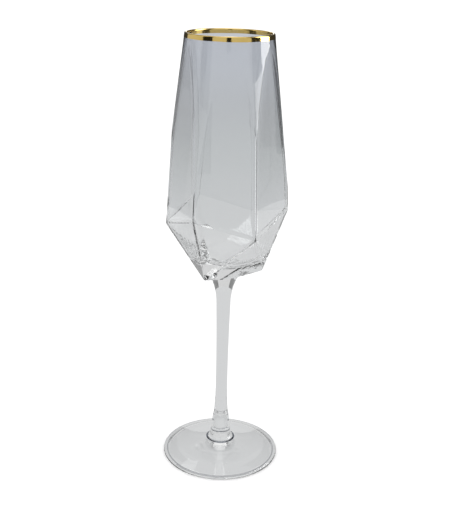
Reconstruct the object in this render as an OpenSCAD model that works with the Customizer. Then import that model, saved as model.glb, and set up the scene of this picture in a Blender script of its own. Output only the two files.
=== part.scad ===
// Champagne flute: a faceted blown bowl with a gilded lip, on a drawn stem,
// a short stub and a round foot.
//
// Millimetres, +Z up. The origin is the centre of the plane that the foot stands on.
// The bowl has threefold symmetry: six tall facets lean in to a round mouth, and nine
// triangles close the belly down to a small three-cornered base. The belly's corners
// alternate between a low ring and a high ring, so its edge is a zigzag.

/* [Foot] */
// Radius of the foot's outer edge
foot_r = 35; // [30:0.5:38]
// Thickness of the foot at its rounded edge
foot_edge = 2.3; // [1.8:0.1:3]
// Height of the foot's flat seat, where the stub stands
foot_seat_z = 9.6; // [8:0.2:11]
// Height of the hollow under the middle of the foot
foot_hollow = 4.5; // [1:0.5:5]
// Width of the ring that the foot stands on, with its rounded edge
foot_ring = 3.5; // [2.5:0.5:6]

/* [Stub and stem] */
// Radius of the stub where it spreads onto the foot
stub_foot_r = 8.1; // [7:0.1:9]
// Radius of the stub's body just above that spread
stub_body_r = 6.3; // [5.8:0.1:6.6]
// Radius of the stub at the weld to the stem
stub_top_r = 4.5; // [4.2:0.1:5]
// Height of the stub above the foot's seat
stub_h = 16.4; // [14:0.2:18]
// Length of the stem, weld to bowl
stem_len = 91.2; // [75:0.2:100]
// Radius of the stem at its waist
waist_r = 3.45; // [3:0.05:4]
// Radius of the stem at the weld to the stub
stem_weld_r = 4.3; // [4.1:0.1:4.6]
// Radius of the stem just below its flare
stem_neck_r = 4.2; // [3.9:0.1:4.6]
// Distance below the bowl at which the stem starts to flare
flare_length = 17.2; // [15:0.1:18]
// Radius of the curve that flares the stem into the bowl
flare_curve_r = 38; // [34:1:45]

/* [Bowl] */
// Height of the bowl, stem to lip, without the gilding
bowl_h = 137.7; // [132:0.1:145]
// Outer radius of the glass at the mouth
mouth_r = 24.4; // [23:0.1:26]
// Growth of the round wall's radius per millimetre down from the mouth
wall_slope = 0.124; // [0.115:0.001:0.13]
// Thickness of the round wall
wall = 1.3; // [1:0.1:1.8]
// Radius and height above the stem of the three low belly corners
low_corner = [34, 29.8]; // [30:0.5:50]
// Radius and height above the stem of the three high belly corners
high_corner = [35.6, 39.8]; // [30:0.5:50]
// Radius and height above the stem of the three corners of the base
base_corner = [22.2, 2.6]; // [2:0.2:24]
// Radius and height above the stem of a point high on a low corner's crease
crease_top = [31, 82.8]; // [30:0.5:90]
// Thickness of the wall behind the six tall facets
facet_wall = 1.4; // [1:0.1:1.8]
// Thickness of the wall behind the nine triangles under the belly
belly_wall = 2.4; // [2:0.1:4]
// Height of the solid base, stem to the floor of the cavity
base_h = 10.8; // [9:0.1:13]
// Bend of the cavity's floor: its rise is this times the radius squared
floor_bend = 0.02; // [0.015:0.001:0.025]

/* [Gilding] */
// Height of the gold band, measured down the wall from the lip's centre
band_h = 1.9; // [1:0.1:4]
// Thickness of the gold band, far thicker than real gilding so that it is a solid
gold_t = 0.1; // [0.05:0.01:0.2]

/* [Hidden] */

// Heights of the joints between the pieces
weld_z = foot_seat_z + stub_h;
bowl_z = weld_z + stem_len;
lip_z = bowl_z + bowl_h - wall / 2;

// Belly corners point at these azimuths, and the other ring lies half way between
LOW_AZIMUTHS = [30, 150, 270];
HALF_PITCH = 60;
// The low corner at 270 faces -X, and -Y lies half way between two corners
AZIMUTH_OF_FRONT = -90;

// Depth of the cut that blunts a high corner, its tilt, and how deep the cavity's own cut
// is as a share of the wall under the belly
TIP_CUT = 0.15;
TIP_TILT = -8;
TIP_SHARE = 0.92;

// Steps used along the profiles that follow a formula
STEM_STEPS = 24;
STUB_STEPS = 10;
EDGE_STEPS = 8;
HOLLOW_STEPS = 8;
FLOOR_STEPS = 10;
// Larger than any part of the bowl
BEYOND = 400;
// Radius of the uncut bowl over that of its high corners
BLANK_SHARE = 1.2;

// Share of the stem's length at which its waist lies
WAIST_SHARE = 0.22;
// How the stub tapers, and how quickly it spreads at the foot, as powers
STUB_TAPER = 1.4;
STUB_SPREAD = 9;
$fn = 128;

// ---- shared geometry ----

// A point from its radius, azimuth seen from above, and height
function at(radius, azimuth, z) =
    [radius * cos(azimuth + AZIMUTH_OF_FRONT), radius * sin(azimuth + AZIMUTH_OF_FRONT), z];

// A bowl corner from its [radius, height above the stem] pair
function corner(size, azimuth) = at(size[0], azimuth, bowl_z + size[1]);

// Outward unit normal of the plane through three points on the bowl
function outward(p, q, r) =
    let (n = cross(q - p, r - p))
    n * sign(n * p - n * [0, 0, p[2]]) / norm(n);

// Everything beyond the plane through a point, square to the unit vector n, moved inwards by inset
module beyond(point, n, inset) {
    translate(point)
        rotate([0, -asin(n[2]), atan2(n[1], n[0])])
            translate([-inset, -BEYOND / 2, -BEYOND / 2])
                cube([BEYOND, BEYOND, BEYOND]);
}

// Everything outside the plane through three points, moved inwards by inset
module outside(p, q, r, inset) {
    beyond(p, outward(p, q, r), inset);
}

// Cuts the children to the bowl's facets, each moved inwards by its inset, and takes the
// tips off the high corners, where four facets would otherwise meet in one point
module faceted(tall_inset, belly_inset, tip_inset) {
    difference() {
        children();
        for (high = LOW_AZIMUTHS + [for (low = LOW_AZIMUTHS) HALF_PITCH])
            beyond(corner(high_corner, high), at(cos(TIP_TILT), high, sin(TIP_TILT)), tip_inset);
        for (low = LOW_AZIMUTHS) {
            low_point = corner(low_corner, low);
            bases = [corner(base_corner, low - HALF_PITCH), corner(base_corner, low + HALF_PITCH)];
            outside(low_point, bases[0], bases[1], belly_inset);
            for (side = [-1, 1]) {
                high = low + side * HALF_PITCH;
                high_point = corner(high_corner, high);
                outside(low_point, high_point, corner(crease_top, low), tall_inset);
                outside(low_point, high_point, corner(base_corner, high), belly_inset);
            }
        }
    }
}

// Profile of a sleeve over the lip: a round end and a length of straight wall below it
module sleeve_profile(grow, length) {
    translate([mouth_r - wall / 2, lip_z]) {
        circle(r = wall / 2 + grow);
        rotate(atan(wall_slope))
            translate([-wall / 2 - grow, -length])
                square([wall + 2 * grow, length]);
    }
}

// ---- bowl ----

// The blank: a round wall that widens downwards, on a shallow cone over the stem
module bowl_blank() {
    stem_top_r = stem_radius(bowl_z);
    base_slope = base_corner[1] / (base_corner[0] - stem_top_r);
    widest_r = BLANK_SHARE * high_corner[0];
    base_z = bowl_z + base_slope * (widest_r - stem_top_r);
    wall_r = mouth_r + wall_slope * (lip_z - base_z);
    rotate_extrude()
        polygon([[0, bowl_z], [stem_top_r, bowl_z], [min(widest_r, wall_r), base_z],
                 [wall_r, base_z], [mouth_r, lip_z], [0, lip_z]]);
}

// The cavity: the same round wall one wall thickness in, over a bent floor
module cavity_blank() {
    floor_z = bowl_z + base_h;
    inner_r = mouth_r - wall;
    join_z = floor_z + floor_bend * pow(high_corner[0], 2);
    join_r = inner_r + wall_slope * (lip_z - join_z);
    rotate_extrude()
        polygon(concat(
            [for (i = [0:FLOOR_STEPS])
                let (r = join_r * i / FLOOR_STEPS) [r, floor_z + (join_z - floor_z) * pow(r / join_r, 2)]],
            [[inner_r, lip_z], [inner_r, lip_z + wall], [0, lip_z + wall]]));
}

// The half-round lip that finishes the wall
module lip() {
    rotate_extrude()
        translate([mouth_r - wall / 2, lip_z])
            intersection() {
                circle(r = wall / 2);
                translate([-wall, 0]) square([2 * wall, wall]);
            }
}

// Faceted glass bowl with a thick base and a rounded lip
module bowl() {
    color("#9aa3ad")
        union() {
            difference() {
                faceted(0, 0, TIP_CUT) bowl_blank();
                faceted(facet_wall, belly_wall, belly_wall * TIP_SHARE) cavity_blank();
            }
            lip();
        }
}

// ---- gilding ----

// Gold band, over the lip and down both faces of the wall
module gold_rim() {
    color("#c9952f")
        rotate_extrude()
            difference() {
                sleeve_profile(gold_t, band_h);
                sleeve_profile(0, band_h + gold_t);
            }
}

// ---- stem, stub and foot ----

// Radius of the stem at a height: a waist low down, and a round flare at the top
function stem_radius(z) =
    let (waist_z = weld_z + stem_len * WAIST_SHARE,
         neck_z = bowl_z - flare_length,
         rise = max(0, z - neck_z),
         flare = flare_curve_r - sqrt(flare_curve_r * flare_curve_r - rise * rise))
    z < waist_z
        ? waist_r + (stem_weld_r - waist_r) * pow((waist_z - z) / (waist_z - weld_z), 2)
        : waist_r + (stem_neck_r - waist_r) * pow((z - waist_z) / (neck_z - waist_z), 2) + flare;

// Drawn glass stem
module stem() {
    color("#dfe3e6")
        rotate_extrude()
            polygon(concat(
                [[0, weld_z]],
                [for (i = [0:STEM_STEPS])
                    let (z = weld_z + stem_len * i / STEM_STEPS) [stem_radius(z), z]],
                [[0, bowl_z]]));
}

// Radius of the stub at a share of its height: a quick spread at the foot, then a taper
function stub_radius(share) =
    stub_top_r + (stub_body_r - stub_top_r) * (1 - pow(share, STUB_TAPER))
    + (stub_foot_r - stub_body_r) * pow(1 - share, STUB_SPREAD);

// Short stub that joins the stem to the foot
module stub() {
    color("#dfe3e6")
        rotate_extrude()
            polygon(concat(
                [[0, foot_seat_z]],
                [for (i = [0:STUB_STEPS])
                    let (share = i / STUB_STEPS)
                    [stub_radius(share), foot_seat_z + stub_h * share]],
                [[0, weld_z]]));
}

// Round foot: a shallow cone with a rounded edge and a hollow underside
module foot() {
    edge_r = foot_edge / 2;
    hollow_r = foot_r - foot_ring;
    color("#dfe3e6")
        rotate_extrude()
            polygon(concat(
                [for (i = [0:HOLLOW_STEPS])
                    let (r = hollow_r * i / HOLLOW_STEPS) [r, foot_hollow * (1 - pow(r / hollow_r, 2))]],
                [for (i = [0:EDGE_STEPS])
                    let (a = -90 + 180 * i / EDGE_STEPS)
                    [foot_r - edge_r + edge_r * cos(a), edge_r + edge_r * sin(a)]],
                [[stub_foot_r, foot_seat_z], [0, foot_seat_z]]));
}

bowl();
gold_rim();
stem();
stub();
foot();
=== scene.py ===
"""Looks of a faceted champagne flute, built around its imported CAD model.

Metres, +Z up, the origin under the middle of the foot. The camera looks along +Y.
Design values are in millimetres, as in the part's source, and MM turns them into metres.
"""

import math

import bmesh
import bpy
import numpy as np
from mathutils import Matrix, Vector


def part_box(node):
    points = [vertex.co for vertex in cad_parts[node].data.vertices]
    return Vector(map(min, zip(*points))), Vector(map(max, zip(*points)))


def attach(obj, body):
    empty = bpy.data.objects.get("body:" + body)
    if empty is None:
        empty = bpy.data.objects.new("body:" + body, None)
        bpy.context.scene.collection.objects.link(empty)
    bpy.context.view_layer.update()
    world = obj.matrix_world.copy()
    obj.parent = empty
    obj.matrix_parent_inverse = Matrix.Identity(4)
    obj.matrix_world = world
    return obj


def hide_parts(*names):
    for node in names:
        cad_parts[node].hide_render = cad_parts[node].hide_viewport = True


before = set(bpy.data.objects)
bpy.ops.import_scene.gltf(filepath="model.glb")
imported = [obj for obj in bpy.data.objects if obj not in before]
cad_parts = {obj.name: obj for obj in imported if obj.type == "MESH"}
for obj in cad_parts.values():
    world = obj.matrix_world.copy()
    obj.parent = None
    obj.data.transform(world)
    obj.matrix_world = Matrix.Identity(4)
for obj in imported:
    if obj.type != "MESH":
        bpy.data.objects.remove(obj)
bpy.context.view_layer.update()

MM = 0.001

# ---- what the frame gives, in millimetres ----

bowl_top, stem_top, stub_top, foot_top = (
    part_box(node)[1] for node in ("bowl", "stem", "stub", "foot")
)

BOWL_Z = stem_top.z / MM
TOP_Z = bowl_top.z / MM
WELD_Z = stub_top.z / MM
SEAT_Z = foot_top.z / MM
FOOT_R = foot_top.x / MM
STEM_TOP_R = stem_top.x / MM
STUB_R = stub_top.x / MM

# ---- design values, in millimetres and degrees ----

# The bowl's outside, as in the part's source. A corner is (radius, height above the stem).
MOUTH_R = 24.4
WALL_SLOPE = 0.124  # growth of the round wall's radius per millimetre down
WALL = 1.3
LIP_Z = TOP_Z - WALL / 2  # centre of the half-round lip
WALL_LEAN = math.atan(WALL_SLOPE)
LOW_CORNER = (34.0, 29.8)
HIGH_CORNER = (35.55, 39.8)
BASE_CORNER = (22.2, 2.6)
CREASE_TOP = (31.0, 82.8)  # a point high on a low corner's crease
LOW_AZIMUTHS = (30, 150, 270)
HALF_PITCH = 60  # from a low corner to the high ones beside it
BLANK_SHARE = 1.2  # radius of the uncut bowl over that of its high corners
BLANK_TOP = 240.0  # where the rings of the uncut bowl's wall end, well above the facets
BLANK_RINGS = 40
EDGE_WIDTH = 0.12  # how wide the belly's edges are rounded
CREASE_WIDTH = 1.8  # how wide the upright creases are rounded
CORNER_WIDTH = 1.5  # how far the base's three corners are blunted
ROUNDED_TURN = 15  # only edges that turn by more than this are rounded
SHARP_TURN = 0.7  # and edges between two kinds of face that turn by more shade sharp
LUSTRE_DIP = -0.12  # a face whose normal dips below this is under the belly, with no lustre

# The cavity. A rounding is tighter the larger its softness is.
TALL_WALL = 1.29
BELLY_WALL = 2.0
UPRIGHT_SOFTNESS = 2.2
BELLY_SOFTNESS = 4.5
FLOOR_SOFTNESS = 1.8
FLOOR_RISE = 10.8  # thickness of the solid base on the axis
FLOOR_BEND = 0.008  # rise of the floor over the square of the radius
HUB_RISE = 34  # height over the stem of the point that the cavity is cast from
PLEATS = 44  # round the whole belly, of which only the left and right ones show
PLEAT_HEIGHT = 0.07
SWIRL_HEIGHT = 0.1

# The gilding, the stem, the stub and the foot
BAND = 1.9  # height of the gold band, measured down from the lip's centre
GOLD_OUTSIDE, GOLD_INSIDE = 0.095, 0.02  # its two faces, over the glass
WAIST_R = 3.45
WAIST_SHARE = 0.22  # share of the stem's length at which its waist lies
STEM_WELD_R = 4.3
STEM_NECK_R = 4.2
STEM_GROOVE = 0.25
FLARE_LENGTH = 17.2
FLARE_R = 38.0
STUB_TOP_R = 4.5
STUB_BODY_R = 6.3
STUB_GROOVE = 0.45
STUB_CREST = 0.4
FOOT_EDGE_R = 1.15
FOOT_RING = 2.2  # width of the ring that the foot stands on
FOOT_HOLLOW = 4.5
FOOT_SAG = 0.35  # how far the foot's slope dips under a straight line
TRENCH_WIDTH = 0.7  # the trench round the stub, outside the stub's edge
TRENCH_IN = 0.45  # and inside it
TRENCH_DEPTH = 0.5

ROUND = 336  # points round the bowl, a multiple of 12 so that every crease has a column

# Kinds of face on the bowl: 0 on the round wall, and FIRST_FACET plus its number on a facet
CAVITY, WELD_FACE, FIRST_FACET = -1, 1, 2
# Order of the bowl's materials
LUSTRE, BARE, FUSED = 0, 1, 2


# ---- meshes ----


def make_piece(name, node, points, faces, materials, face_slots=None):
    """One closed piece that stands for a CAD node. points are in millimetres."""
    mesh = bpy.data.meshes.new(name)
    mesh.from_pydata((np.asarray(points) * MM).tolist(), [], faces)
    for material in materials:
        mesh.materials.append(material)
    if face_slots is not None:
        mesh.polygons.foreach_set("material_index", face_slots)
    mesh.polygons.foreach_set("use_smooth", [True] * len(mesh.polygons))
    mesh.validate()
    mesh.update()
    return ride(mesh, node)


def ride(mesh, node):
    piece = bpy.data.objects.new(mesh.name, mesh)
    bpy.context.scene.collection.objects.link(piece)
    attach(piece, "root")
    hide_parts(node)
    return piece


def ring_faces(rings, count=ROUND, closed=False):
    """Quads between neighbouring rings of count points, outside out when the rings go up."""
    faces = []
    for i in range(rings if closed else rings - 1):
        low, high = i * count, (i + 1) % rings * count
        for j in range(count):
            k = (j + 1) % count
            faces.append((low + j, low + k, high + k, high + j))
    return faces


def around(count=ROUND):
    """Unit vectors round the axis, counted from the front (-Y) towards +X."""
    turn = np.radians(np.arange(count) * 360.0 / count - 90)
    return np.column_stack([np.cos(turn), np.sin(turn)])


def corner(size, azimuth):
    turn = math.radians(azimuth - 90)
    return np.array([size[0] * math.cos(turn), size[0] * math.sin(turn), BOWL_Z + size[1]])


def facets():
    """Outward normals and offsets of the bowl's fifteen facets, and 1 for each tall one."""
    rows = []

    def add(p, q, r, tall):
        n = np.cross(q - p, r - p)
        n *= math.copysign(1, n @ p - n[2] * p[2]) / np.linalg.norm(n)
        rows.append((*n, n @ p, tall))

    for low in LOW_AZIMUTHS:
        low_point = corner(LOW_CORNER, low)
        base_points = [corner(BASE_CORNER, low + side) for side in (-HALF_PITCH, HALF_PITCH)]
        add(low_point, *base_points, 0)
        for side in (-HALF_PITCH, HALF_PITCH):
            high_point = corner(HIGH_CORNER, low + side)
            add(low_point, high_point, corner(CREASE_TOP, low), 1)
            add(low_point, high_point, corner(BASE_CORNER, low + side), 0)
    rows = np.array(rows)
    return rows[:, :3], rows[:, 3], rows[:, 4]


def smooth(low, high, x):
    t = np.clip((x - low) / (high - low), 0, 1)
    return t * t * (3 - 2 * t)


def soft_max(values, directions, k):
    """The largest of values (a column each), rounded off where two are close, and its direction.
    The larger k, the tighter the rounding."""
    top = values.max(1)
    weights = np.exp((values - top[:, None]) * k)
    total = weights.sum(1)
    weights /= total[:, None]
    return top + np.log(total) / k, np.einsum("ij,ijk->ik", weights, directions)


def cavity_field(points):
    """Signed distance to the wall of the cavity, above zero in the glass, and its direction.
    The creases under the belly are the tightest, and the floor's edge is the softest."""
    x, y, z = points.T
    r = np.maximum(np.hypot(x, y), 1e-6)
    normals, offsets, tall = facets()
    inset = TALL_WALL * tall + BELLY_WALL * (1 - tall)
    g = points @ normals.T - offsets + inset
    across, along = math.cos(WALL_LEAN), math.sin(WALL_LEAN)
    round_wall = (r - MOUTH_R + WALL - WALL_SLOPE * (LIP_Z - z)) * across
    round_n = np.column_stack([x / r * across, y / r * across, np.full(len(z), along)])
    slope = 2 * FLOOR_BEND * r
    steep = np.hypot(1, slope)
    floor = (BOWL_Z + FLOOR_RISE + FLOOR_BEND * r**2 - z) / steep
    floor_n = np.column_stack([x / r * slope / steep, y / r * slope / steep, -1 / steep])
    is_tall = tall > 0
    every_n = np.broadcast_to(normals, (len(points), *normals.shape))
    upright, upright_n = soft_max(
        np.column_stack([g[:, is_tall], round_wall]),
        np.concatenate([every_n[:, is_tall], round_n[:, None]], 1),
        UPRIGHT_SOFTNESS,
    )
    under, under_n = soft_max(
        np.column_stack([upright, g[:, ~is_tall]]),
        np.concatenate([upright_n[:, None], every_n[:, ~is_tall]], 1),
        BELLY_SOFTNESS,
    )
    value, n = soft_max(
        np.column_stack([under, floor]), np.stack([under_n, floor_n], 1), FLOOR_SOFTNESS
    )
    return value, n / np.linalg.norm(n, axis=1)[:, None]


def cast(starts, angles, field, longest=60.0):
    """Rings of points where rays from the axis meet field's zero, and the field's direction
    there. Ring i starts at height starts[i] and rises at angles[i] degrees."""
    flat = around()
    rise = np.radians(np.asarray(angles, float))
    way = np.empty((len(rise), ROUND, 3))
    way[..., :2] = np.cos(rise)[:, None, None] * flat[None]
    way[..., 2] = np.sin(rise)[:, None]
    start = np.zeros_like(way)
    start[..., 2] = np.asarray(starts, float)[:, None]
    way, start = way.reshape(-1, 3), start.reshape(-1, 3)
    near, far = np.zeros(len(way)), np.full(len(way), longest)
    for _ in range(32):
        middle = (near + far) / 2
        outside = field(start + way * middle[:, None])[0] > 0
        far = np.where(outside, middle, far)
        near = np.where(outside, near, middle)
    points = start + way * ((near + far) / 2)[:, None]
    return points, field(points)[1]


def bowl_outside():
    """The outside, from the weld to the start of the lip, as a bmesh: a turned blank that is
    cut to the facets and rounded, with the kind of each face in the layer "kind"."""
    slope = BASE_CORNER[1] / (BASE_CORNER[0] - STEM_TOP_R)
    widest = BLANK_SHARE * HIGH_CORNER[0]
    base_z = BOWL_Z + slope * (widest - STEM_TOP_R)
    lip_r = MOUTH_R - WALL / 2 + WALL / 2 * math.cos(WALL_LEAN)
    lip_z = LIP_Z + WALL / 2 * math.sin(WALL_LEAN)
    wall_heights = np.linspace(base_z, BLANK_TOP, BLANK_RINGS)
    profile = [(STEM_TOP_R, BOWL_Z), (widest, base_z)]
    profile += [(MOUTH_R + WALL_SLOPE * (LIP_Z - z), z) for z in wall_heights]
    profile += [(lip_r, lip_z)]
    flat = around()
    rings = np.vstack([np.column_stack([flat * r, np.full(ROUND, z)]) for r, z in profile])
    shape = bmesh.new()
    kind = shape.faces.layers.int.new("kind")
    verts = [shape.verts.new(p) for p in rings]
    for face in ring_faces(len(profile)):
        shape.faces.new([verts[i] for i in face])
    weld = shape.faces.new([verts[i] for i in reversed(range(ROUND))])
    weld[kind] = WELD_FACE
    normals, offsets, tall = facets()
    for number, (n, offset) in enumerate(zip(normals, offsets)):
        everything = shape.verts[:] + shape.edges[:] + shape.faces[:]
        cut = bmesh.ops.bisect_plane(
            shape, geom=everything, dist=1e-5, plane_co=n * offset, plane_no=n, clear_outer=True
        )
        edges = [e for e in cut["geom_cut"] if isinstance(e, bmesh.types.BMEdge)]
        before = set(shape.faces)
        bmesh.ops.holes_fill(shape, edges=edges, sides=0)
        for face in set(shape.faces) - before:
            face[kind] = FIRST_FACET + number
    corners = [v for v in shape.verts if is_base_corner(v.co)]
    round_off(shape, corners, CORNER_WIDTH, 3, "VERTICES")
    for both_tall, width, steps in ((False, EDGE_WIDTH, 2), (True, CREASE_WIDTH, 5)):
        edges = [e for e in shape.edges if is_facet_edge(e, kind, tall, both_tall)]
        round_off(shape, edges, width, steps, "EDGES")
    return shape


def round_off(shape, geometry, width, steps, affect):
    bmesh.ops.bevel(
        shape, geom=geometry, offset=width, segments=steps, profile=0.5, affect=affect,
        clamp_overlap=True,
    )


def is_facet_edge(edge, kind, tall, both_tall):
    """True for an edge between two facets, if both being tall facets equals both_tall."""
    if len(edge.link_faces) != 2 or edge.calc_face_angle() <= math.radians(ROUNDED_TURN):
        return False
    kinds = [face[kind] for face in edge.link_faces]
    if min(kinds) < FIRST_FACET or kinds[0] == kinds[1]:
        return False
    return all(tall[k - FIRST_FACET] for k in kinds) == both_tall


def is_base_corner(point):
    far = math.hypot(point.x, point.y) > BASE_CORNER[0] - 1
    return far and abs(point.z - BOWL_Z - BASE_CORNER[1]) < 0.5


def bowl_inside():
    """Rings of the cavity, from the floor up: facets that follow the outside, over a thick
    base, with soft ripples that the mould left."""
    hub = BOWL_Z + HUB_RISE
    angles = np.linspace(-88, 0, 90)
    heights = np.concatenate(
        [
            np.arange(hub + 1.0, BOWL_Z + 60, 1.0),
            np.arange(BOWL_Z + 61, LIP_Z - 11, 2.4),
            np.linspace(LIP_Z - 10, LIP_Z - 0.3, 8),
        ]
    )
    starts = np.concatenate([np.full(len(angles), hub), heights])
    angles = np.concatenate([angles, np.zeros(len(heights))])
    points, n = cast(starts, angles, cavity_field)
    points += n * ripples(points)[:, None]
    return points


def ripples(points):
    """Height of the mould's ripples in millimetres: pleats that run down the left and right
    of the belly, and a swirl over the floor."""
    x, y, z = points.T
    turn = np.arctan2(x, -y)
    low = 1 - smooth(BOWL_Z + 22, BOWL_Z + 30, z)
    wall = smooth(BOWL_Z + 12, BOWL_Z + 15, z)
    side = np.sin(turn) ** 4
    pleats = np.sin(PLEATS * turn + 1.2 * np.sin(3 * turn) + 0.25 * (z - BOWL_Z))
    pleats = pleats * (0.6 + 0.4 * np.sin(7 * turn + 1))
    swirl = np.sin(0.9 * x + 0.5 * np.sin(0.4 * y)) * np.sin(0.8 * y + 1.3)
    return low * (PLEAT_HEIGHT * pleats * wall * side + SWIRL_HEIGHT * swirl * (1 - wall))


def lip_rings(steps=8):
    """The half-round lip, from the outer wall over to the inner wall."""
    flat = around()
    middle, radius = MOUTH_R - WALL / 2, WALL / 2
    rings = []
    for a in np.linspace(WALL_LEAN, math.pi - WALL_LEAN, steps):
        height = np.full(ROUND, LIP_Z + radius * math.sin(a))
        rings.append(np.column_stack([flat * (middle + radius * math.cos(a)), height]))
    return np.vstack(rings)


def side_material(face, kind):
    """The lustre lies on the outside above the belly, and not on the triangles under it."""
    if face[kind] == WELD_FACE:
        return FUSED
    middle, normal = face.calc_center_median(), face.normal
    faces_out = normal.x * middle.x + normal.y * middle.y > 0
    coated = faces_out and normal.z > LUSTRE_DIP and face[kind] != CAVITY
    return LUSTRE if coated else BARE


def build_bowl(materials):
    """The bowl's glass. materials are in the order LUSTRE, BARE, FUSED."""
    shape = bowl_outside()
    kind = shape.faces.layers.int["kind"]
    inner = bowl_inside().reshape(-1, ROUND, 3)[::-1].reshape(-1, 3)
    rings = np.vstack([lip_rings(), inner])
    count = len(rings) // ROUND
    verts = [shape.verts.new(p) for p in rings]
    for face in ring_faces(count):
        shape.faces.new([verts[i] for i in face])[kind] = CAVITY
    last = (count - 1) * ROUND
    middle = shape.verts.new((0, 0, rings[last:, 2].mean() - 0.01))
    for j in range(ROUND):
        floor = shape.faces.new([verts[last + j], verts[last + (j + 1) % ROUND], middle])
        floor[kind] = CAVITY
    bmesh.ops.remove_doubles(shape, verts=shape.verts[:], dist=0.004)
    for face in shape.faces:
        face.smooth = True
        face.material_index = side_material(face, kind)
    for edge in shape.edges:
        if len(edge.link_faces) == 2:
            kinds = {face[kind] for face in edge.link_faces}
            flat = edge.calc_face_angle() <= math.radians(SHARP_TURN)
            edge.smooth = CAVITY in kinds or len(kinds) == 1 or flat
    for v in shape.verts:
        v.co *= MM
    mesh = bpy.data.meshes.new("bowl_glass")
    shape.to_mesh(mesh)
    shape.free()
    for material in materials:
        mesh.materials.append(material)
    return ride(mesh, "bowl")


def turned(profile, name, node, materials, weld_low=False, weld_high=False, count=96):
    """A solid of revolution from (r, z) points, bottom to top, closed by flat ends. An end
    that is fused to the next piece gets the second material, the joint."""
    flat = around(count)
    rings = np.vstack([np.column_stack([flat * r, np.full(count, z)]) for r, z in profile])
    faces = ring_faces(len(profile), count)
    slots = [0] * len(faces)
    points = np.vstack([rings, [[0, 0, profile[0][1]]], [[0, 0, profile[-1][1]]]])
    low, high, last = len(rings), len(rings) + 1, (len(profile) - 1) * count
    for j in range(count):
        k = (j + 1) % count
        faces.append((k, j, low))
        slots.append(int(weld_low))
        faces.append((last + j, last + k, high))
        slots.append(int(weld_high))
    piece = make_piece(name, node, points, faces, materials, slots)
    sharpen(piece, 50)
    return piece


def sharpen(piece, degrees):
    """Marks the edges that turn by more than degrees as sharp, so that flat ends shade flat."""
    piece.data.set_sharp_from_angle(angle=math.radians(degrees))


def arc(centre, radius, first, last, steps):
    """Points (r, z) on an arc, between two angles in degrees."""
    turn = np.radians(np.linspace(first, last, steps))
    return [(centre[0] + radius * math.cos(t), centre[1] + radius * math.sin(t)) for t in turn]


def stem_radius(z):
    """The stem is narrowest at its waist, wider at its weld and neck, and then flares."""
    length = BOWL_Z - WELD_Z
    waist, neck = WELD_Z + length * WAIST_SHARE, BOWL_Z - FLARE_LENGTH
    if z < waist:
        return WAIST_R + (STEM_WELD_R - WAIST_R) * ((waist - z) / (waist - WELD_Z)) ** 2
    rise = max(0.0, z - neck)
    flare = FLARE_R - math.sqrt(FLARE_R**2 - rise**2)
    return WAIST_R + (STEM_NECK_R - WAIST_R) * ((z - waist) / (neck - waist)) ** 2 + flare


def build_stem(materials):
    low = WELD_Z + STEM_GROOVE
    body = [(stem_radius(z), z) for z in np.linspace(low, BOWL_Z, 120)]
    edge = arc((stem_radius(low) - STEM_GROOVE, low), STEM_GROOVE, -90, 0, 6)[:-1]
    return turned(edge + body, "stem_glass", "stem", materials, True, True)


def stub_radius(share):
    """Radius at a share of the stub's height: a taper that spreads on the foot."""
    taper = STUB_TOP_R + (STUB_BODY_R - STUB_TOP_R) * (1 - share**1.4)
    return taper + (STUB_R - STUB_BODY_R) * (1 - share) ** 9


def build_stub(materials):
    """The stub. Its groove on the foot gets the third material, dark glass that paints the groove's
    shade.
    """
    height = WELD_Z - SEAT_Z
    low, high = SEAT_Z + STUB_GROOVE, WELD_Z - STUB_CREST
    body = [
        (min(stub_radius((z - SEAT_Z) / height), STUB_R), z) for z in np.linspace(low, high, 70)
    ]
    foot_edge = arc((body[0][0] - STUB_GROOVE, low), STUB_GROOVE, -90, 0, 6)[:-1]
    top_edge = arc((body[-1][0] - STUB_CREST, high), STUB_CREST, 0, 90, 8)[1:]
    profile = foot_edge + body + top_edge
    piece = turned(profile, "stub_glass", "stub", materials, True, True)
    # The groove's faces get dark glass with painted shade.
    for face in piece.data.polygons:
        if SEAT_Z + 0.001 < face.center.z / MM < low:
            face.material_index = 2
    return piece


def hollow_height(share):
    """Height of the hollow under the foot, from its middle (0) to its edge (1)."""
    return FOOT_HOLLOW * (1 - 0.65 * share**2 - 0.35 * share**8) + 0.02


def build_foot(materials):
    """The foot: a hollow, a round edge, and a slope that sags a little up to a trench round
    the stub. The trench gets the third material and the lowest edges the fourth, both dark glass
    with painted shade."""
    hollow_r = FOOT_R - FOOT_RING
    under = [(hollow_r * t, hollow_height(t)) for t in np.linspace(0.02, 1, 50)]
    rim = arc((FOOT_R - FOOT_EDGE_R, FOOT_EDGE_R), FOOT_EDGE_R, -90, 75, 16)
    slope_r, slope_z = rim[-1]
    top = []
    for t in np.linspace(0, 1, 60)[1:]:
        r = slope_r + (STUB_R + TRENCH_WIDTH - slope_r) * t
        z = slope_z + (SEAT_Z - 0.25 - slope_z) * t - FOOT_SAG * math.sin(math.pi * t)
        top.append((r, z))
    trench = [(STUB_R + 0.3, SEAT_Z - TRENCH_DEPTH), (STUB_R - 0.1, SEAT_Z - 0.3)]
    seat = [(STUB_R - TRENCH_IN, SEAT_Z)]
    profile = under + rim + top + trench + seat
    piece = turned(profile, "foot_glass", "foot", materials, False, True, 180)
    # The trench and the lowest edges get dark glass with painted shade.
    for face in piece.data.polygons:
        r, z = face.center.xy.length / MM, face.center.z / MM
        by_stub = -TRENCH_IN < r - STUB_R < TRENCH_WIDTH + 0.02
        if by_stub and SEAT_Z - TRENCH_DEPTH - 0.05 < z < SEAT_Z - 0.01:
            face.material_index = 2
        elif z < 0.35 and (hollow_r - 0.7 < r < hollow_r + 0.1 or r > FOOT_R - 0.7):
            face.material_index = 3
    return piece


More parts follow.
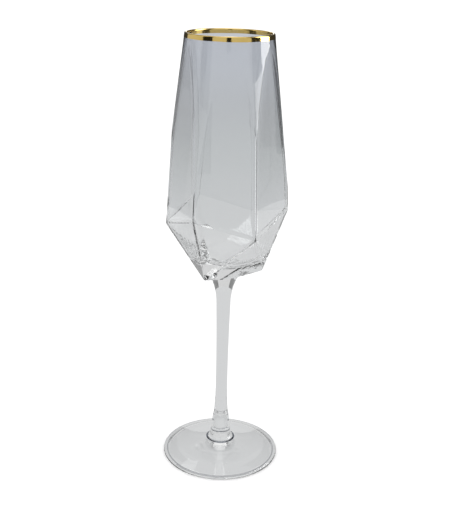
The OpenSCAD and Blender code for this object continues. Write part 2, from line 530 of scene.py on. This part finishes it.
def build_gold(material):
    """The gilding: a thin closed skin over the lip, with a slightly uneven lower edge."""
    flat = around()
    middle, radius = MOUTH_R - WALL / 2, WALL / 2
    turn = np.arange(ROUND) * 2 * math.pi / ROUND
    uneven = 0.05 * np.sin(3 * turn + 1) + 0.03 * np.sin(7 * turn) + 0.02 * np.sin(13 * turn + 2)

    def skin(grow, short, steps=14):
        """Rings over the lip from outside to inside, grow over the glass."""
        rings = []
        for t in np.linspace(1, 0, 5)[:-1]:
            drop = (BAND - short + uneven) * t
            r = middle + (radius + grow) / math.cos(WALL_LEAN) + WALL_SLOPE * drop
            rings.append(np.column_stack([flat * r[:, None], LIP_Z - drop]))
        for a in np.linspace(0, math.pi, steps):
            height = np.full(ROUND, LIP_Z + (radius + grow) * math.sin(a))
            rings.append(np.column_stack([flat * (middle + (radius + grow) * math.cos(a)), height]))
        for t in np.linspace(0, 1, 5)[1:]:
            drop = (BAND - short - uneven) * t
            r = middle - (radius + grow) / math.cos(WALL_LEAN) + WALL_SLOPE * drop
            rings.append(np.column_stack([flat * r[:, None], LIP_Z - drop]))
        return rings

    rings = skin(GOLD_OUTSIDE, 0.0) + skin(GOLD_INSIDE, 0.03)[::-1]
    faces = ring_faces(len(rings), closed=True)
    points = np.vstack(rings)
    piece = make_piece("gold_band", "gold_rim", points, faces, [material])
    sharpen(piece, 60)
    return piece


# ---- materials ----


IOR = 1.5
SLANT_DARKENING = 0.62  # how much darker the glass is painted where it is seen edge on: partly the lustre's real loss, partly painted shade
LUSTRE_STOPS = [
    # height in mm and colour: clear at the base, neutral grey above, blue-grey at the mouth
    (147, (0.865, 0.88, 0.885)),
    (165, (0.84, 0.855, 0.865)),
    (190, (0.775, 0.80, 0.81)),
    (215, (0.715, 0.735, 0.765)),
    (240, (0.735, 0.765, 0.83)),
    (255, (0.715, 0.74, 0.815)),
]
CLEAR = (0.98, 0.985, 0.985)
DARK_GOLD, BRIGHT_GOLD = (0.62, 0.45, 0.14), (0.76, 0.56, 0.20)


def new_material(name):
    material = bpy.data.materials.new(name)
    material.use_nodes = True
    tree = material.node_tree
    shader = next(n for n in tree.nodes if n.type == "BSDF_PRINCIPLED")
    return material, tree, shader


def new_plain_material(name, kind):
    """A material of one shader node that isn't Principled."""
    material = bpy.data.materials.new(name)
    material.use_nodes = True
    tree = material.node_tree
    tree.nodes.clear()
    shader = tree.nodes.new(kind)
    out = tree.nodes.new("ShaderNodeOutputMaterial")
    tree.links.new(shader.outputs[0], out.inputs["Surface"])
    return material, shader


def height_ramp(tree, stops):
    """A colour ramp over the height of the object, from (height in mm, colour) stops."""
    where = tree.nodes.new("ShaderNodeTexCoord")
    split = tree.nodes.new("ShaderNodeSeparateXYZ")
    share = tree.nodes.new("ShaderNodeMapRange")
    ramp = tree.nodes.new("ShaderNodeValToRGB")
    low, high = stops[0][0], stops[-1][0]
    share.inputs["From Min"].default_value = low * MM
    share.inputs["From Max"].default_value = high * MM
    tree.links.new(where.outputs["Object"], split.inputs[0])
    tree.links.new(split.outputs["Z"], share.inputs["Value"])
    tree.links.new(share.outputs["Result"], ramp.inputs["Fac"])
    elements = ramp.color_ramp.elements
    while len(elements) < len(stops):
        elements.new(0.5)
    for element, (z, colour) in zip(elements, stops):
        element.position = (z - low) / (high - low)
        element.color = (*colour, 1)
    return ramp.outputs["Color"]


def noise(tree, scale, detail=2.0):
    where = tree.nodes.new("ShaderNodeTexCoord")
    node = tree.nodes.new("ShaderNodeTexNoise")
    node.inputs["Scale"].default_value = scale
    node.inputs["Detail"].default_value = detail
    tree.links.new(where.outputs["Object"], node.inputs["Vector"])
    return node.outputs["Fac"]


def ranged(tree, value, low, high, start=0.0):
    """value, from start to 1, spread over low to high."""
    node = tree.nodes.new("ShaderNodeMapRange")
    node.inputs["From Min"].default_value = start
    node.inputs["To Min"].default_value = low
    node.inputs["To Max"].default_value = high
    tree.links.new(value, node.inputs["Value"])
    return node.outputs["Result"]


def bumped(tree, shader, height, distance, strength=1.0):
    node = tree.nodes.new("ShaderNodeBump")
    node.inputs["Strength"].default_value = strength
    node.inputs["Distance"].default_value = distance * MM
    tree.links.new(height, node.inputs["Height"])
    tree.links.new(node.outputs["Normal"], shader.inputs["Normal"])


def tinted(tree, colour, value, low, high):
    """colour times value, which is first spread over low to high."""
    node = tree.nodes.new("ShaderNodeMix")
    node.data_type = "RGBA"
    node.blend_type = "MULTIPLY"
    node.inputs["Factor"].default_value = 1.0
    grey = tree.nodes.new("ShaderNodeCombineColor")
    shade = ranged(tree, value, low, high)
    for channel in range(3):
        tree.links.new(shade, grey.inputs[channel])
    tree.links.new(colour, node.inputs["A"])
    tree.links.new(grey.outputs[0], node.inputs["B"])
    return node.outputs["Result"]


def make_glass(shader):
    shader.inputs["IOR"].default_value = IOR
    shader.inputs["Transmission Weight"].default_value = 1.0


def polish(tree, shader):
    """Blown glass: as good as smooth, with faint uneven spots."""
    tree.links.new(ranged(tree, noise(tree, 60), 0.0, 0.012), shader.inputs["Roughness"])


def smoked_glass():
    """Glass with a smoke lustre, darker where it is seen at a slant: partly real loss in the
    lustre, partly painted shade.
    """
    material, tree, shader = new_material("smoked_glass")
    colour = tinted(tree, height_ramp(tree, LUSTRE_STOPS), noise(tree, 25, 1), 0.97, 1.02)
    # Darkening at a slant, above the belly only: partly the lustre's real loss, partly painted
    # shade of dark surroundings.
    slant = tree.nodes.new("ShaderNodeLayerWeight")
    slant.inputs["Blend"].default_value = 0.5
    above = height_ramp(tree, [(158, (0, 0, 0)), (200, (1, 1, 1)), (255, (1, 1, 1))])
    slant_shade = tree.nodes.new("ShaderNodeMath")
    slant_shade.operation = "MULTIPLY"
    slanted = ranged(tree, slant.outputs["Facing"], 0.0, SLANT_DARKENING, start=0.1)
    tree.links.new(slanted, slant_shade.inputs[0])
    tree.links.new(above, slant_shade.inputs[1])
    colour = tinted(tree, colour, slant_shade.outputs[0], 1.0, 0.0)
    tree.links.new(colour, shader.inputs["Base Color"])
    polish(tree, shader)
    make_glass(shader)
    return material


def plain_colour(tree, colour):
    node = tree.nodes.new("ShaderNodeRGB")
    node.outputs[0].default_value = (*colour, 1)
    return node.outputs[0]


def clear_glass(name):
    material, tree, shader = new_material(name)
    colour = tinted(tree, plain_colour(tree, CLEAR), noise(tree, 30, 1), 0.985, 1.01)
    tree.links.new(colour, shader.inputs["Base Color"])
    polish(tree, shader)
    make_glass(shader)
    return material


def shaded_glass(name, colour):
    """Dark glass that paints shade in a crevice or on a tight edge, where little light comes back.
    """
    material, tree, shader = new_material(name)
    shade = tinted(tree, plain_colour(tree, colour), noise(tree, 300, 2), 0.7, 1.2)
    tree.links.new(shade, shader.inputs["Base Color"])
    shader.inputs["Roughness"].default_value = 0.05
    make_glass(shader)
    return material


def weld():
    """The inside of a fused joint, where light passes as if the glass were one."""
    return new_plain_material("fused_joint", "ShaderNodeBsdfTransparent")[0]


def gold():
    material, tree, shader = new_material("fired_gold")
    ramp = tree.nodes.new("ShaderNodeValToRGB")
    for element, colour in zip(ramp.color_ramp.elements, (DARK_GOLD, BRIGHT_GOLD)):
        element.color = (*colour, 1)
    tree.links.new(noise(tree, 180, 3), ramp.inputs["Fac"])
    tree.links.new(ramp.outputs["Color"], shader.inputs["Base Color"])
    shader.inputs["Metallic"].default_value = 1.0
    tree.links.new(ranged(tree, noise(tree, 400), 0.05, 0.14), shader.inputs["Roughness"])
    bumped(tree, shader, noise(tree, 900), 0.02, 0.3)
    return material


# ---- stage, in metres ----

# The camera sees a white floor and a white world. The glass and the gold see a grey sweep
# and a grey wall instead, and the flags, softboxes and shades round them.

FLOOR_HALF = 30.0
SWEEP_Z = -0.001  # just under the floor
GREY = 0.66  # brightness of the sweep and the wall
STUDIO_R, STUDIO_HEIGHT, STUDIO_SIDES = 12, 14, 64
CEILING_Z, CEILING_HALF, CEILING_BRIGHTNESS = 1.3, 2.0, 0.9
CARD_POINTS = 12  # along each curved card
CARDS = [
    # name, first and last azimuth in degrees from the front towards +X, distance, low and
    # high edge, brightness, and whether it is seen by reflection or through the glass
    ("flag_back_right", 114, 175, 0.55, 0.1, 1.5, 0.05, "glossy"),
    ("flag_back_left", -175, -128, 0.55, 0.1, 1.5, 0.05, "glossy"),
    ("flag_front", -7, 4, 0.60, 0.1, 0.9, 0.0, "glossy"),
    ("flag_left", -68, -42, 0.55, 0.24, 0.9, 0.02, "glossy"),
    ("flag_right", 54, 80, 0.49, 0.264, 0.9, 0.02, "glossy"),
    ("gap_back", 174, 186, 0.60, 0.25, 1.5, 2.0, "glossy"),
    ("gap_low", 174, 186, 0.60, 0.1, 0.25, 0.3, "glossy"),
    ("softbox_right", 82, 107, 0.56, 0.1, 0.9, 7.0, "glossy"),
    ("softbox_right_top", 107, 114, 0.56, 0.27, 0.9, 7.0, "glossy"),
    ("softbox_strip", 60, 82, 0.50, 0.20, 0.262, 4.0, "glossy"),
    ("softbox_left", -125, -72, 0.7, 0.0, 0.9, 0.8, "glossy"),
    ("softbox_front_left", -42, -7, 0.7, 0.0, 0.9, 0.8, "glossy"),
    ("softbox_front_right", 4, 56, 0.7, 0.0, 0.9, 0.8, "glossy"),
    ("softbox_upper_left", -92, -58, 0.6, 0.75, 1.29, 3.6, "transmission"),
    ("blob_right", 107, 123, 0.50, 0.0, 0.058, 1.5, "glossy"),
    ("blob_left", -134, -121, 0.50, 0.0, 0.042, 1.3, "glossy"),
    ("shade_back_right", 112, 160, 0.6, 0.1, 0.9, 0.2, "transmission"),
    ("shade_back_left", -160, -128, 0.6, 0.1, 0.9, 0.2, "transmission"),
    ("shade_left", -80, -55, 0.6, 0.0, 0.9, 0.05, "transmission"),
    ("shade_right", 60, 83, 0.6, 0.0, 0.9, 0.05, "transmission"),
    ("glow_right", 87, 108, 0.6, 0.0, 0.9, 1.4, "transmission"),
]
# A slanting window behind the glass, as (x, z) corners, how far back it is and its brightness
WINDOW = [(-0.15, 0.37), (-0.03, 0.34), (-0.03, 0.43), (-0.13, 0.47)]
WINDOW_Y, WINDOW_BRIGHTNESS = 0.29, 1.5


def square(half, z):
    return [(-half, -half, z), (half, -half, z), (half, half, z), (-half, half, z)]


def stage_piece(name, points, faces, material):
    mesh = bpy.data.meshes.new(name)
    mesh.from_pydata(points, [], faces)
    mesh.materials.append(material)
    piece = bpy.data.objects.new(name, mesh)
    bpy.context.scene.collection.objects.link(piece)
    return piece


def build_floor():
    material, _, shader = new_material("floor")
    shader.inputs["Base Color"].default_value = (0.92, 0.92, 0.92, 1)
    shader.inputs["Roughness"].default_value = 1.0
    shader.inputs["Specular IOR Level"].default_value = 0.0
    floor = stage_piece("floor", square(FLOOR_HALF, 0), [(0, 1, 2, 3)], material)
    floor.visible_glossy = False
    floor.visible_transmission = False


def build_world():
    world = bpy.data.worlds.new("studio")
    bpy.context.scene.world = world
    world.use_nodes = True
    shade = world.node_tree.nodes["Background"]
    shade.inputs["Color"].default_value = (1, 1, 1, 1)
    shade.inputs["Strength"].default_value = 1.25


def glowing_sheet(name, points, faces, brightness, seen, colour=(1, 1, 1)):
    """A sheet that only the glass and the gold see: by reflection if seen has "glossy" in it,
    and through the glass if it has "transmission"."""
    material, shader = new_plain_material(name, "ShaderNodeEmission")
    shader.inputs["Color"].default_value = (*colour, 1)
    shader.inputs["Strength"].default_value = brightness
    sheet = stage_piece(name, points, faces, material)
    sheet.visible_camera = False
    sheet.visible_diffuse = False
    sheet.visible_shadow = False
    sheet.visible_volume_scatter = False
    sheet.visible_glossy = "glossy" in seen
    sheet.visible_transmission = "transmission" in seen


def build_cards():
    """Flags, softboxes and shades, each bent round the glass. A blob has a round top."""
    for name, first, last, distance, low, high, brightness, seen in CARDS:
        turn = np.radians(np.linspace(first, last, CARD_POINTS) - 90)
        flat = np.column_stack([np.cos(turn), np.sin(turn)]) * distance
        top = np.full(CARD_POINTS, high)
        if name.startswith("blob"):
            bulge = np.sin(np.linspace(0.15, 2.9, CARD_POINTS))
            top = low + (high - low) * (0.25 + 0.75 * bulge)
        points = [(x, y, low) for x, y in flat] + [(x, y, z) for (x, y), z in zip(flat, top)]
        faces = [(i, i + 1, i + CARD_POINTS + 1, i + CARD_POINTS) for i in range(CARD_POINTS - 1)]
        glowing_sheet(name, points, faces, brightness, seen)


def build_studio():
    """The window and the ceiling, and the grey sweep and wall behind everything."""
    one = [(0, 1, 2, 3)]
    window = [(x, WINDOW_Y, z) for x, z in WINDOW]
    glowing_sheet("window", window, one, WINDOW_BRIGHTNESS, "glossy")
    ceiling = square(CEILING_HALF, CEILING_Z)
    glowing_sheet("ceiling", ceiling, one, CEILING_BRIGHTNESS, "transmission")
    both = "glossy and transmission"
    glowing_sheet("sweep", square(FLOOR_HALF, SWEEP_Z), one, GREY, both, (0.99, 1.0, 1.01))
    ring = STUDIO_SIDES + 1
    turn = np.radians(np.linspace(0, 360, ring))
    wall = [
        (STUDIO_R * math.cos(t), STUDIO_R * math.sin(t), z)
        for z in (SWEEP_Z, STUDIO_HEIGHT)
        for t in turn
    ]
    faces = [(i, i + 1, i + ring + 1, i + ring) for i in range(STUDIO_SIDES)]
    glowing_sheet("studio_wall", wall, faces, GREY, both)


CAMERA_DISTANCE, CAMERA_HEIGHT = 494.9, 301.2  # in millimetres
CAMERA_PITCH, CAMERA_YAW, CAMERA_ROLL = 19.18, 0.096, 1.408  # down, right, anticlockwise
CAMERA_LENS, SENSOR_WIDTH = 63.8, 36.0
BOUNCES, GLOSSY_BOUNCES = 40, 16  # enough for light that crosses all the glass


def build_camera():
    """The photograph's view: from the front, a little above, a little rolled."""
    p, q, t = (math.radians(a) for a in (CAMERA_PITCH, CAMERA_YAW, CAMERA_ROLL))
    forward = Vector((math.sin(q) * math.cos(p), math.cos(q) * math.cos(p), -math.sin(p)))
    right = Vector((math.cos(q), -math.sin(q), 0))
    up = right.cross(forward)
    right, up = (
        right * math.cos(t) + up * math.sin(t),
        up * math.cos(t) - right * math.sin(t),
    )
    data = bpy.data.cameras.new("camera")
    data.lens = CAMERA_LENS
    data.sensor_width = SENSOR_WIDTH
    data.clip_start, data.clip_end = 0.01, 100.0
    camera = bpy.data.objects.new("camera", data)
    axes = Matrix((right, up, -forward)).transposed().to_4x4()
    axes.translation = Vector((0, -CAMERA_DISTANCE * MM, CAMERA_HEIGHT * MM))
    camera.matrix_world = axes
    bpy.context.scene.collection.objects.link(camera)
    bpy.context.scene.camera = camera


def set_render():
    """Plain colours, and enough bounces for the glass."""
    scene = bpy.context.scene
    scene.view_settings.view_transform = "Standard"
    scene.cycles.max_bounces = BOUNCES
    scene.cycles.transmission_bounces = BOUNCES
    scene.cycles.glossy_bounces = GLOSSY_BOUNCES
    scene.cycles.transparent_max_bounces = BOUNCES
    scene.cycles.caustics_refractive = True
    scene.cycles.caustics_reflective = True


# ---- the build ----

# Dark glass with painted shade, for the groove round the stub and the foot's trench.
groove_shade_glass = shaded_glass("painted_groove_shade", (0.06, 0.07, 0.09))
build_camera()
smoke, clear, joint = smoked_glass(), clear_glass("clear_glass"), weld()
build_bowl([smoke, clear_glass("bare_glass"), joint])
build_gold(gold())
build_stem([clear, joint])
build_stub([clear, joint, groove_shade_glass])
# The foot's fourth material is grey glass that paints shade on its lowest edges.
build_foot([clear, joint, groove_shade_glass, shaded_glass("painted_edge_shade", (0.42, 0.43, 0.45))])
build_floor()
build_world()
build_cards()
build_studio()
set_render()
